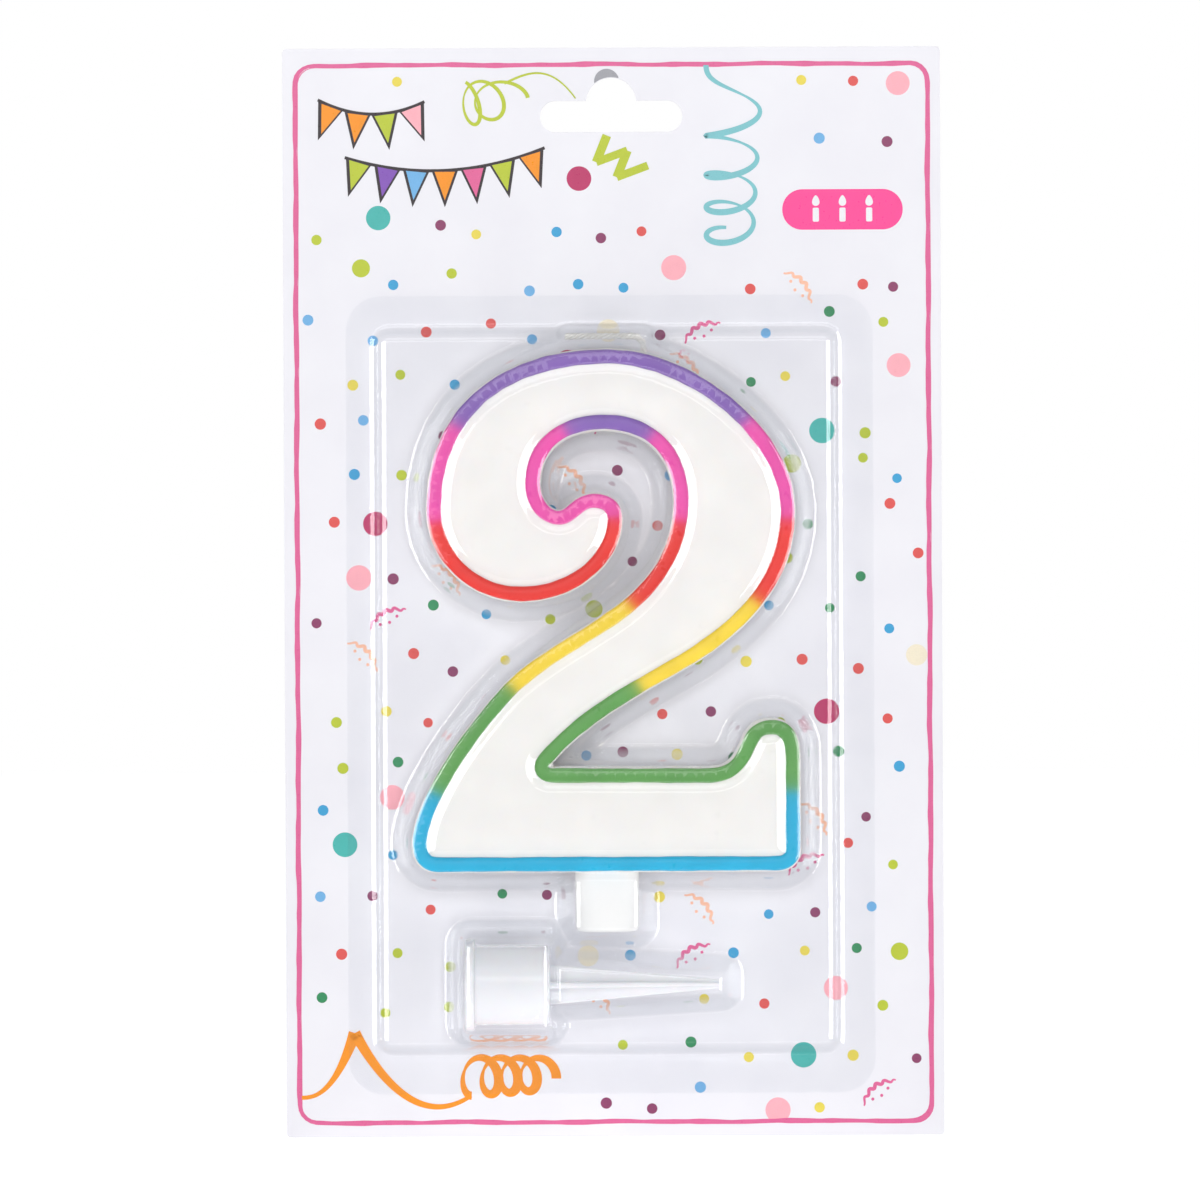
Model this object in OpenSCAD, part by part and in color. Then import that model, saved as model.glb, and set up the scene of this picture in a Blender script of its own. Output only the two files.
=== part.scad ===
// Number birthday candle on its hanging card.
// A wax "2" with a coloured bead rim, its wick, the spiked cake holder, the clear blister that
// holds both, and the printed backing card with its hang slot.
// Millimetres.  +Z is up, -Y is the front, and the origin is the middle of the hang slot on the
// front face of the card.

/* [Card] */
// Width of the backing card
card_width = 148; // [142:1:160]
// Height of the backing card
card_height = 245; // [238:1:260]
// Thickness of the board
card_thickness = 0.6; // [0.4:0.1:1.2]
// Radius of the four card corners
card_corner = 1; // [0.5:0.5:3]
// Distance from the top edge down to the middle of the hang slot
slot_drop = 15.5; // [13:0.5:18]

/* [Hang slot] */
// Width of the slot
slot_width = 32; // [28:1:36]
// Height of the straight part of the slot
slot_height = 7; // [5:0.5:8]
// Width of the round bump over the middle of the slot
bump_width = 11.3; // [9:0.1:13]
// Height of slot and bump together
slot_reach = 12.2; // [11:0.1:14]

/* [Wax number] */
// Height of the number without its peg
number_height = 117; // [100:1:118]
// Thickness of the wax, front to back
number_thickness = 15; // [15:0.5:18]
// Diameter of the round peg under the number
peg_diameter = 14.2; // [10:0.1:14.2]
// Length of the peg
peg_length = 13.3; // [8:0.1:13.3]
// How far the wax shows outside the coloured rim
wax_margin = 0.3; // [0.1:0.1:0.6]

/* [Coloured rim] */
// Width of the bead
bead_width = 3.2; // [2:0.1:3.6]
// How far the bead stands up from the wax
bead_height = 1; // [0.6:0.1:1.6]

/* [Wick] */
// Diameter of the waxed cotton wick
wick_diameter = 1.6; // [1:0.1:2]
// Length of wick standing in the wax
wick_buried = 13; // [6:1:13]
// Length of the straight part bent over the top of the number
wick_free = 15.5; // [8:0.5:18]
// Radius of the bend in the wick
wick_bend = 2.4; // [1.5:0.1:2.6]

/* [Holder] */
// Outside diameter of the cup
cup_diameter = 18; // [17.6:0.1:19]
// Length of the cup from its mouth to the back of its floor
cup_length = 19; // [17:0.5:20]
// Diameter of the socket that takes the peg
socket_diameter = 14.8; // [14.8:0.1:15.4]
// Depth of the socket
socket_depth = 15.5; // [14:0.5:16]
// Diameter of the lip around the mouth
lip_diameter = 20.5; // [19.5:0.1:21]
// Thickness of the lip
lip_thickness = 2.2; // [1.5:0.1:3]
// Length of the spike
spike_length = 38.7; // [30:0.1:40]
// Width of the spike where it meets the cup
spike_root = 9.2; // [6:0.1:10]
// Width of the spike at its tip
spike_tip = 1.6; // [1.2:0.1:3]
// Thickness of each of the four spike ribs
rib_thickness = 1.4; // [1:0.1:2]

/* [Blister] */
// Thickness of the clear sheet
sheet = 0.4; // [0.3:0.05:0.5]
// Height of the shallow tray around the pockets
tray_depth = 3.4; // [2.5:0.1:4.5]
// Gap between a pocket wall and what it holds
pocket_gap = 1.2; // [0.8:0.1:1.4]
// Gap between a pocket front and what it holds
front_gap = 0.4; // [0.3:0.1:0.8]

/* [Hidden] */
$fn = 96;
eps = 0.01;

// Shared layout.  "depth" is measured forward from the card face, towards -Y.
card_top = slot_drop;
card_bottom = slot_drop - card_height;
rest_gap = 0.5;                                  // between the card and what lies on it
wax_front = rest_gap + number_thickness;         // depth of the wax face
bead_front = wax_front + bead_height;            // depth of the bead tops
candle_axis = rest_gap + number_thickness / 2;   // depth of the peg and wick axis
number_x = -2;                                   // middle of the number
number_z = -169.7;                               // foot of the number
drawn_height = 117;                              // height the outline below is drawn at
number_scale = number_height / drawn_height;
number_top = number_z + number_height;
peg_x = number_x + 0.3;
peg_bottom = number_z - peg_length;

// Holder, lying on its side under the number with its mouth to the left.
holder_x = -33.6;                                // mouth of the cup
holder_z = -194.8;                               // axis of the holder
holder_depth = rest_gap + lip_diameter / 2;      // axis of the holder, forward of the card

// Blister: flange, shallow tray, then the pockets.
flange_left = -60;
flange_right = 58.6;
flange_top = -40.3;
flange_bottom = -219.8;
flange_corner = 8;
tray_left = -53.8;
tray_right = 50.9;
tray_top = -47.5;
tray_bottom = -210.8;
tray_corner = 3.5;
pocket_corner = 2.5;
number_pocket_depth = bead_front + front_gap;
peg_pocket_depth = candle_axis + peg_diameter / 2 + front_gap;
wick_pocket_depth = candle_axis + wick_diameter / 2 + front_gap;
cup_pocket_depth = holder_depth + lip_diameter / 2 + front_gap;
spike_pocket_depth = holder_depth + spike_root / 2 + front_gap;

// Wick, standing in the crown and bent over to the left.
wick_x = number_x + 9 * number_scale;
wick_root_z = number_top - 15;
wick_turn_z = wick_root_z + wick_buried + 2.6;
wick_end_x = wick_x - wick_bend - wick_free;

// Centre line of the coloured rim, drawn from the middle of the foot of the number.
// A row of three points is a cubic curve (two handles and its end); a row of one is a straight.
rim_start = [-38, 81];
rim_rows = [
    [[-38, 103], [-23, 115.3], [1, 115.3]],          // left side, up and over the crown
    [[19, 115.3], [41, 98], [41, 81]],               // down the right side
    [[41, 66], [32, 56.5], [20, 48.7]],
    [[8, 41.5], [-7, 35], [-16.3, 21.8]],            // into the sharp inner corner
    [[23, 21.6]],                                    // along the top of the base
    [[29, 21.6], [30.6, 25], [32.3, 29]],            // up the inside of the hook
    [[33.4, 31.6], [35, 32.4], [37.3, 32.4]],
    [[40.5, 32.4], [41.8, 30], [41.8, 26]],          // over the hook
    [[41.8, 5]],
    [[41.8, 3.2], [40.4, 2], [38.6, 2]],             // bottom right corner
    [[-37.5, 2]],
    [[-40.5, 2], [-41.7, 4.3], [-41.5, 7.5]],        // bottom left corner
    [[-40.3, 16.5], [-31.5, 30], [-21, 41.2]],       // up the left of the diagonal
    [[-14.5, 47.5], [-6, 51.6], [1, 56.4]],
    [[9, 61.5], [17.3, 70], [17.3, 83]],             // inside of the stem
    [[17.3, 94], [10.5, 100.7], [0, 100.7]],         // under the crown
    [[-9.5, 100.7], [-16, 95.5], [-16, 87]],
    [[-16, 82.3], [-13, 79.2], [-10, 79.2]],         // round the curl
    [[-7.3, 79.2], [-6, 83], [-2.5, 83.1]],
    [[0.6, 83.1], [2.4, 81.8], [2.4, 79]],
    [[2.4, 70.5], [-6.5, 62.3], [-18.5, 62.3]],      // under the lobe and back to the start
    [[-29.5, 62.3], [-38, 71], [-38, 81]]
];
curve_steps = 10;

// Heights at which the rim changes colour, and the two places where the inner arch does.
blue_top = 18;
green_top = 41.5;
yellow_top = 60;
red_top = 79;
pink_top = 100;
arch_left = -8.8;
arch_right = 10.3;

// Lines that run between neighbouring strands of the rim.
far = 60;                // beyond every strand
arch_reach = 24;         // between the arch and the outer sides, left and right
arch_cover = 4;          // the arch rises and the curl dips less than this past its colour change
lobe_right = 5;          // between the lobe and the stem
lobe_floor = 62.8;       // between the lobe and the stem, where the lobe is above the stem
diagonal_middle = 50;    // height where the line between the two yellow strands steps across
diagonal_low_gap = 0;
diagonal_top_gap = 12;
green_middle = 33;       // the same between the two green strands
green_low_gap = -25;
green_top_gap = -14;

function bezier(a, b, c, d, t) =
    pow(1 - t, 3) * a + 3 * pow(1 - t, 2) * t * b + 3 * (1 - t) * t * t * c + t * t * t * d;

function row_end(i) = i < 0 ? rim_start : rim_rows[i][len(rim_rows[i]) - 1];

function row_points(start, row) =
    len(row) == 1
    ? row
    : [for (k = [1:curve_steps]) bezier(start, row[0], row[1], row[2], k / curve_steps)];

rim_path = [
    for (i = [0:len(rim_rows) - 1])
        for (p = row_points(row_end(i - 1), rim_rows[i])) p
];

// Stands a flat drawing (x, z) up and gives it depth, counted forward from the card.
module between_depths(near_depth, far_depth) {
    rotate([90, 0, 0])
        translate([0, 0, near_depth])
            linear_extrude(far_depth - near_depth)
                children();
}

module rounded_rectangle(left, right, bottom, top, radius) {
    hull_width = right - left;
    hull_height = top - bottom;
    translate([left + radius, bottom])
        square([hull_width - 2 * radius, hull_height]);
    translate([left, bottom + radius])
        square([hull_width, hull_height - 2 * radius]);
    for (x = [left + radius, right - radius])
        for (z = [bottom + radius, top - radius])
            translate([x, z])
                circle(r = radius);
}

// Solid outline of the number; "grow" is measured outward from the bead's centre line.
module number_shape(grow) {
    translate([number_x, number_z])
        offset(r = grow, $fn = 48)
            scale(number_scale)
                polygon(rim_path);
}

// One stretch of bead: the part of the whole rim inside the children's area.
module rim_stretch(tint) {
    color(tint)
        between_depths(wax_front, bead_front)
            intersection() {
                difference() {
                    number_shape(bead_width / 2);
                    number_shape(-bead_width / 2);
                }
                translate([number_x, number_z])
                    scale(number_scale)
                        children();
            }
}

module area(left, right, bottom, top) {
    translate([left, bottom])
        square([right - left, top - bottom]);
}

module backing_card() {
    color([0.93, 0.92, 0.95])
        between_depths(-card_thickness, 0)
            difference() {
                rounded_rectangle(-card_width / 2, card_width / 2, card_bottom, card_top, card_corner);
                hang_slot_shape();
            }
}

module hang_slot_shape() {
    rounded_rectangle(-slot_width / 2, slot_width / 2, -slot_height / 2, slot_height / 2,
                      slot_height / 2 - eps);
    translate([0, slot_reach - slot_height / 2 - bump_width / 2])
        circle(d = bump_width);
    translate([-bump_width / 2, 0])
        square([bump_width, slot_reach - slot_height / 2 - bump_width / 2]);
}

// Every pocket of the blister, grown outward by "skin" and closed at its own depth plus "skin".
module pockets(skin, start_depth) {
    between_depths(start_depth, number_pocket_depth + skin)
        number_shape(bead_width / 2 + wax_margin + pocket_gap + skin);
    between_depths(start_depth, peg_pocket_depth + skin)
        rounded_rectangle(peg_x - peg_diameter / 2 - pocket_gap - skin,
                          peg_x + peg_diameter / 2 + pocket_gap + skin,
                          peg_bottom - pocket_gap - skin, number_z + 5, pocket_corner);
    between_depths(start_depth, wick_pocket_depth + skin)
        rounded_rectangle(wick_end_x - pocket_gap - skin,
                          wick_x + wick_diameter / 2 + pocket_gap + skin,
                          number_top - 6,
                          wick_turn_z + wick_bend + wick_diameter / 2 + pocket_gap / 2 + skin,
                          pocket_corner);
    between_depths(start_depth, cup_pocket_depth + skin)
        rounded_rectangle(holder_x - pocket_gap - skin,
                          holder_x + cup_length + pocket_gap + skin,
                          holder_z - lip_diameter / 2 - pocket_gap - skin,
                          holder_z + lip_diameter / 2 + pocket_gap + skin, pocket_corner);
    between_depths(start_depth, spike_pocket_depth + skin)
        rounded_rectangle(holder_x + cup_length - pocket_corner,
                          holder_x + cup_length + spike_length + pocket_gap + skin,
                          holder_z - spike_root / 2 - pocket_gap - skin,
                          holder_z + spike_root / 2 + pocket_gap + skin, pocket_corner);
}

module tray_shape(skin) {
    rounded_rectangle(tray_left - skin, tray_right + skin, tray_bottom - skin, tray_top + skin,
                      tray_corner);
}

module blister() {
    color([0.85, 0.92, 0.98, 0.3])
        difference() {
            union() {
                between_depths(0, sheet)
                    rounded_rectangle(flange_left, flange_right, flange_bottom, flange_top,
                                      flange_corner);
                between_depths(0, tray_depth)
                    tray_shape(0);
                pockets(sheet, sheet / 2);
            }
            between_depths(-1, tray_depth - sheet)
                tray_shape(-sheet);
            pockets(0, -1);
        }
}

// One casting: the number and the round peg under it, bored for the wick.
module wax_number() {
    color([0.96, 0.95, 0.92])
        difference() {
            union() {
                between_depths(rest_gap, wax_front)
                    number_shape(bead_width / 2 + wax_margin);
                translate([peg_x, -candle_axis, peg_bottom])
                    cylinder(d = peg_diameter, h = peg_length + 2);
            }
            translate([wick_x, -candle_axis, wick_root_z])
                cylinder(d = wick_diameter, h = 20, $fn = 48);
        }
}

module wick() {
    color([0.93, 0.91, 0.86])
        translate([wick_x, -candle_axis, 0]) {
            translate([0, 0, wick_root_z])
                cylinder(d = wick_diameter, h = wick_turn_z - wick_root_z, $fn = 48);
            translate([-wick_bend, 0, wick_turn_z])
                rotate([90, 0, 0])
                    rotate_extrude(angle = 90)
                        translate([wick_bend, 0])
                            circle(d = wick_diameter, $fn = 48);
            translate([-wick_bend - wick_free, 0, wick_turn_z + wick_bend])
                rotate([0, 90, 0])
                    cylinder(d = wick_diameter, h = wick_free, $fn = 48);
        }
}

purple = [0.55, 0.41, 0.73];
pink = [0.96, 0.37, 0.69];
red = [0.98, 0.33, 0.29];
yellow = [0.98, 0.82, 0.24];
green = [0.39, 0.65, 0.33];
blue = [0.18, 0.69, 0.88];

module rim_purple_outer() {
    rim_stretch(purple)
        difference() {
            area(-far, far, pink_top, drawn_height + 5);
            area(-arch_reach, arch_reach, pink_top - 1, pink_top + arch_cover);
        }
}

module rim_purple_inner() {
    rim_stretch(purple)
        area(arch_left, arch_right, pink_top - arch_cover, pink_top + arch_cover);
}

module rim_pink_left() {
    rim_stretch(pink)
        area(-far, -arch_reach, red_top, pink_top);
}

module rim_pink_right() {
    rim_stretch(pink)
        area(arch_reach, far, red_top, pink_top);
}

module rim_pink_stem() {
    rim_stretch(pink)
        area(arch_right, arch_reach, red_top, pink_top + arch_cover);
}

module rim_pink_curl() {
    rim_stretch(pink) {
        area(-arch_reach, arch_left, red_top - arch_cover, pink_top + arch_cover);
        area(arch_left - 1, 0, red_top - arch_cover, pink_top - 2 * arch_cover);
        area(-1, arch_right, red_top, pink_top - 2 * arch_cover);
    }
}

module rim_red_right() {
    rim_stretch(red)
        area(arch_reach, far, yellow_top, red_top);
}

module rim_red_stem() {
    rim_stretch(red) {
        area(lobe_right, arch_reach, yellow_top, red_top);
        area(0, lobe_right + 1, yellow_top, lobe_floor);
    }
}

module rim_red_lobe() {
    rim_stretch(red) {
        area(-far, -arch_reach, yellow_top, red_top);
        area(-arch_reach - 1, 0, yellow_top, red_top - arch_cover);
        area(-1, lobe_right, lobe_floor, red_top);
    }
}

module rim_yellow_left() {
    rim_stretch(yellow) {
        area(-far, diagonal_low_gap, green_top, diagonal_middle + 1);
        area(-far, diagonal_top_gap, diagonal_middle, yellow_top);
    }
}

module rim_yellow_right() {
    rim_stretch(yellow) {
        area(diagonal_low_gap, far, green_top, diagonal_middle + 1);
        area(diagonal_top_gap, far, diagonal_middle, yellow_top);
    }
}

module rim_green_left() {
    rim_stretch(green) {
        area(-far, green_low_gap, blue_top, green_middle + 1);
        area(-far, green_top_gap, green_middle, green_top);
    }
}

module rim_green_hook() {
    rim_stretch(green) {
        area(green_low_gap, far, blue_top, green_middle + 1);
        area(green_top_gap, far, green_middle, green_top);
    }
}

module rim_blue_base() {
    rim_stretch(blue)
        area(-far, far, -5, blue_top);
}

// One moulding: a lipped cup for the peg and a four-rib spike for the cake.
module holder() {
    color([0.97, 0.97, 0.99])
        translate([holder_x, -holder_depth, holder_z])
            rotate([0, 90, 0]) {
                holder_cup();
                for (turn = [0, 90])
                    rotate([0, 0, turn])
                        spike_rib();
            }
}

module holder_cup() {
    rotate_extrude()
        polygon([
            [socket_diameter / 2, 0],
            [lip_diameter / 2, 0],
            [lip_diameter / 2, lip_thickness],
            [cup_diameter / 2, lip_thickness],
            [cup_diameter / 2, cup_length - 1],
            [cup_diameter / 2 - 1, cup_length],
            [0, cup_length],
            [0, socket_depth],
            [socket_diameter / 2, socket_depth]
        ]);
}

module spike_rib() {
    rotate([90, 0, 0])
        translate([0, 0, -rib_thickness / 2])
            linear_extrude(rib_thickness)
                polygon([
                    [-spike_root / 2, cup_length - 1],
                    [spike_root / 2, cup_length - 1],
                    [spike_tip / 2, cup_length + spike_length - 1.5],
                    [0, cup_length + spike_length],
                    [-spike_tip / 2, cup_length + spike_length - 1.5]
                ]);
}

backing_card();
blister();
wax_number();
wick();
rim_purple_outer();
rim_purple_inner();
rim_pink_left();
rim_pink_right();
rim_pink_stem();
rim_pink_curl();
rim_red_right();
rim_red_stem();
rim_red_lobe();
rim_yellow_left();
rim_yellow_right();
rim_green_left();
rim_green_hook();
rim_blue_base();
holder();
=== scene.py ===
"""Number birthday candle in its blister pack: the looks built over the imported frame.

Flat drawings are in millimetres, x to the right and z up, as seen from the front.  "Depth" is
counted forward from the front face of the card, towards -Y.
"""
import math

import bmesh
import bpy
import numpy as np
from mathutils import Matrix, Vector, geometry


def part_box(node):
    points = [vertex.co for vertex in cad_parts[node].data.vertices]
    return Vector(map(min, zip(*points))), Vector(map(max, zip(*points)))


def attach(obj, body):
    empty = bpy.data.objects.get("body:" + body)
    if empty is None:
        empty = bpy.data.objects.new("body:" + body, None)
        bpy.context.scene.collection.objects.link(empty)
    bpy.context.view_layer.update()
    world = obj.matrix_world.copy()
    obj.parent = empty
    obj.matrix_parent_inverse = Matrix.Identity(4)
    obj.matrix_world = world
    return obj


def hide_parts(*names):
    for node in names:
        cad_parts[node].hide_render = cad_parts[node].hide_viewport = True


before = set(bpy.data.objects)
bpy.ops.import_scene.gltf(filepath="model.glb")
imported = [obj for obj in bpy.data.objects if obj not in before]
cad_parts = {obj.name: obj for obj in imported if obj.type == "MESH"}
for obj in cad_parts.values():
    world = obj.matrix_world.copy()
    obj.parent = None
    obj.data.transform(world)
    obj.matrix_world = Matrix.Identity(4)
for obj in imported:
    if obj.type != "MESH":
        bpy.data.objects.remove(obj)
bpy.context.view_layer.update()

MM = 0.001
TAU = 2 * math.pi
QUARTER = math.pi / 2


# ---- reading the frame

def box(node):
    """Left, right, bottom, top, nearest and farthest depth of a CAD node, in millimetres."""
    low, high = (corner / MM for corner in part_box(node))
    return low.x, high.x, low.z, high.z, -high.y, -low.y


def node_points(node):
    """A CAD node's vertices, in millimetres."""
    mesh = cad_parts[node].data
    flat = np.zeros(len(mesh.vertices) * 3)
    mesh.vertices.foreach_get("co", flat)
    return flat.reshape(-1, 3) / MM


def lower_box(node, level):
    """Left, right, bottom, nearest and farthest depth of what a CAD node has below a level."""
    points = node_points(node)
    below = points[points[:, 2] < level]
    (left, _, bottom), (right, _, _) = below.min(axis=0), below.max(axis=0)
    return left, right, bottom, -below[:, 1].max(), -below[:, 1].min()


def border_edges(faces):
    """The directed edges that only one face has; each face is a sequence of corners."""
    edges = set()
    for face in faces:
        for start, end in zip(face, face[1:] + face[:1]):
            if (end, start) in edges:
                edges.remove((end, start))
            else:
                edges.add((start, end))
    return edges


def face_outlines(node, depth):
    """The closed outlines of a node's flat face at that depth, widest first."""
    flat_within = 0.004
    points = node_points(node)
    polygons = [points[list(polygon.vertices)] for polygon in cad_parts[node].data.polygons]
    level = [p for p in polygons if np.abs(p[:, 1] + depth).max() <= flat_within]
    following = dict(border_edges([[(round(x, 3), round(z, 3)) for x, _, z in p] for p in level]))
    loops = []
    while following:
        start, point = following.popitem()
        loop = [start]
        while point != start:
            loop.append(point)
            point = following.pop(point)
        loops.append(np.array(loop))
    return sorted(loops, key=lambda loop: abs(signed_area(loop)), reverse=True)


# ---- flat geometry

def signed_area(loop):
    following = np.roll(loop, -1, axis=0)
    return 0.5 * float((loop[:, 0] * following[:, 1] - following[:, 0] * loop[:, 1]).sum())


def counter_clockwise(loop):
    return loop if signed_area(loop) > 0 else loop[::-1]


def unit(vectors):
    """The same flat vectors, all of length one."""
    return vectors / np.maximum(np.hypot(*vectors.T), 1e-9)[:, None]


def subdivide(loop, spacing):
    """The same closed outline with no edge longer than the spacing."""
    points = []
    for start, end in zip(loop, np.roll(loop, -1, axis=0)):
        pieces = max(1, math.ceil(math.dist(start, end) / spacing))
        points += [start + (end - start) * k / pieces for k in range(pieces)]
    return np.array(points)


def evenly(loop, spacing):
    """Points at an even spacing round a closed path."""
    path = np.vstack([loop, loop[:1]])
    steps = np.hypot(*np.diff(path, axis=0).T)
    travelled = np.concatenate([[0], np.cumsum(steps)])
    wanted = np.linspace(0, travelled[-1], round(travelled[-1] / spacing), endpoint=False)
    return np.stack([np.interp(wanted, travelled, path[:, axis]) for axis in (0, 1)], axis=1)


def softened(path, rounds):
    """A closed path with its small corners smoothed away."""
    for _ in range(rounds):
        path = 0.25 * np.roll(path, 1, axis=0) + 0.5 * path + 0.25 * np.roll(path, -1, axis=0)
    return path


def distance_to(loop, points, batch=4000):
    """Distance from each point to a closed outline, negative inside it."""
    start = np.asarray(loop, float)
    along = np.roll(start, -1, axis=0) - start
    end = start + along
    length_squared = (along ** 2).sum(1)
    slope = along[:, 0] / np.where(along[:, 1] == 0, 1e-12, along[:, 1])
    results = []
    for first in range(0, len(points), batch):
        p = points[first:first + batch, None, :]
        share = np.clip(((p - start) * along).sum(-1) / length_squared, 0, 1)
        gap = p - start - share[..., None] * along
        nearest = np.sqrt((gap ** 2).sum(-1).min(1))
        spans = (start[:, 1] > p[..., 1]) != (end[:, 1] > p[..., 1])
        left_of = p[..., 0] < slope * (p[..., 1] - start[:, 1]) + start[:, 0]
        inside = (spans & left_of).sum(1) % 2 == 1
        results.append(np.where(inside, -nearest, nearest))
    return np.concatenate(results)


def moved_outline(loop, distance, spacing):
    """The outline moved outward by a distance, or inward if it is negative."""
    loop = subdivide(counter_clockwise(loop), spacing)
    along = unit(np.roll(loop, -1, axis=0) - loop)
    angles = np.arctan2(-along[:, 0], along[:, 1])
    moved = []
    for i in range(len(loop)):
        turn = (angles[i] - angles[i - 1] + math.pi) % TAU - math.pi
        fan = 1 + math.ceil(abs(turn) * abs(distance) / spacing)
        for k in range(fan + 1):
            angle = angles[i - 1] + turn * k / fan
            moved.append(loop[i] + distance * np.array([math.cos(angle), math.sin(angle)]))
    moved = np.array(moved)
    keep = np.abs(distance_to(loop, moved) - distance) < 0.02 + 0.01 * abs(distance)
    return evenly(moved[keep], spacing)


def arc(centre_x, centre_z, radius, start, end, count=6):
    """Points of an arc, its angles in quarter turns from the x axis."""
    angles = [(start + (end - start) * k / (count - 1)) * QUARTER for k in range(count)]
    return [(centre_x + radius * math.cos(a), centre_z + radius * math.sin(a)) for a in angles]


def rounded_box(left, right, bottom, top, radius, steps=8):
    """A closed outline of a rectangle with rounded corners."""
    low_x, high_x, low_z, high_z = left + radius, right - radius, bottom + radius, top - radius
    corners = [(high_x, high_z), (low_x, high_z), (low_x, low_z), (high_x, low_z)]
    return np.vstack([arc(x, z, radius, quarter, quarter + 1, steps + 1)
                      for quarter, (x, z) in enumerate(corners)])


def waves(count, *terms):
    """A sum of sine waves round a loop of points, each with its height, number and phase."""
    turn = np.arange(count) / count * TAU
    return sum(height * np.sin(number * turn + phase) for height, number, phase in terms)


def honeycomb(left, right, bottom, top, spacing):
    """Points in staggered rows, each at the same distance from its six neighbours."""
    rows = []
    for row, z in enumerate(np.arange(bottom, top, spacing * math.sin(TAU / 6))):
        x = np.arange(left + (row % 2) * spacing / 2, right, spacing)
        rows.append(np.stack([x, np.full_like(x, z)], axis=1))
    return np.vstack(rows)


def triangulate(loops, extra=()):
    """Triangles that fill the first outline, less the others, through the extra points."""
    points, edges = [], []
    for loop in loops:
        first = len(points)
        points += [Vector(p) for p in loop]
        edges += [(first + i, first + (i + 1) % len(loop)) for i in range(len(loop))]
    points += [Vector(p) for p in extra]
    result = geometry.delaunay_2d_cdt(points, edges, [], 1, 1e-5)
    flat = np.array([tuple(p) for p in result[0]])
    middles = np.array([flat[list(face)].mean(axis=0) for face in result[2]])
    filled = np.ones(len(middles), bool)
    for hole in loops[1:]:
        filled &= distance_to(hole, middles) > 0
    faces = []
    for face, keep in zip(result[2], filled):
        if not keep:
            continue
        a, b, c = (flat[i] for i in face)
        turn = (b[0] - a[0]) * (c[1] - a[1]) - (b[1] - a[1]) * (c[0] - a[0])
        faces.append(tuple(face) if turn > 0 else tuple(reversed(face)))
    return flat, faces


# ---- meshes

def build(name, verts, faces, material, body, slot, smooth_angle=40, colours=None, replaces=()):
    """A mesh piece from millimetres, which rides on a CAD body and may stand for CAD nodes."""
    mesh = bpy.data.meshes.new(name)
    mesh.from_pydata([Vector(v) * MM for v in verts], [], faces)
    for item in material if isinstance(material, (list, tuple)) else [material]:
        mesh.materials.append(item)
    work = bmesh.new()
    work.from_mesh(mesh)
    bmesh.ops.recalc_face_normals(work, faces=work.faces)
    work.to_mesh(mesh)
    work.free()
    mesh.polygons.foreach_set("use_smooth", [True] * len(mesh.polygons))
    mesh.set_sharp_from_angle(angle=math.radians(smooth_angle))
    if colours is not None:
        attribute = mesh.color_attributes.new("ink", "FLOAT_COLOR", "POINT")
        attribute.data.foreach_set("color", np.asarray(colours, float).ravel())
    mesh.update()
    obj = bpy.data.objects.new(name, mesh)
    bpy.context.scene.collection.objects.link(obj)
    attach(obj, body)
    if replaces:
        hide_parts(*replaces)
    return obj


def slab(flat, faces, front, back):
    """A closed solid over flat triangles; front and back give each point's depth."""
    count = len(flat)
    front = np.broadcast_to(front, count)
    back = np.broadcast_to(back, count)
    verts = [(p[0], -d, p[1]) for p, d in zip(flat, front)]
    verts += [(p[0], -d, p[1]) for p, d in zip(flat, back)]
    solid = list(faces)
    solid += [tuple(i + count for i in reversed(face)) for face in faces]
    solid += [(a, a + count, b + count, b) for a, b in sorted(border_edges(faces))]
    return verts, solid


def loft(rings):
    """Skins a row of rings of equal length, with a cap at each end."""
    size = len(rings[0])
    verts = [tuple(p) for ring in rings for p in ring]
    last = len(verts) - size
    faces = [tuple(range(size)), tuple(range(last, last + size))]
    for here in range(0, last, size):
        there = here + size
        for k in range(size):
            other = (k + 1) % size
            faces.append((here + k, here + other, there + other, there + k))
    return verts, faces


def joined(parts):
    """Several (verts, faces) pairs as one."""
    verts, faces = [], []
    for part_verts, part_faces in parts:
        shift = len(verts)
        verts += list(part_verts)
        faces += [tuple(i + shift for i in face) for face in part_faces]
    return verts, faces


# ---- materials

class ShaderNodes:
    """A small helper for building the nodes of a material or a world."""

    def __init__(self, tree):
        self.nodes = tree.nodes
        self.links = tree.links

    def put(self, value, socket):
        """Joins a socket to an input, or gives the input a plain number, vector or colour."""
        if isinstance(value, bpy.types.NodeSocket):
            self.links.new(value, socket)
        else:
            socket.default_value = (*value, 1) if socket.type == "RGBA" else value

    def feed(self, node, **values):
        """Puts values into a node's inputs, named with "_" for each space."""
        for name, value in values.items():
            self.put(value, node.inputs[name.replace("_", " ")])

    def add(self, kind, *first_values, settings=(), **values):
        """A new node, with values for its first inputs in their order and for others by name."""
        node = self.nodes.new(kind)
        for name, value in dict(settings).items():
            setattr(node, name, value)
        for value, socket in zip(first_values, node.inputs):
            self.put(value, socket)
        self.feed(node, **values)
        return node

    def ramp(self, source, *ends):
        """Maps a number between the first two ends to one between the last two."""
        return self.add("ShaderNodeMapRange", source, *ends).outputs["Result"]

    def total(self, first, second):
        return self.add("ShaderNodeMath", first, second, settings={"operation": "ADD"}).outputs["Value"]

    def mix_shaders(self, factor, first, second, output):
        """Joins a mix of two shader nodes to the output node."""
        mixed = self.add("ShaderNodeMixShader", factor, first.outputs[0], second.outputs[0])
        self.feed(output, Surface=mixed.outputs["Shader"])


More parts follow.
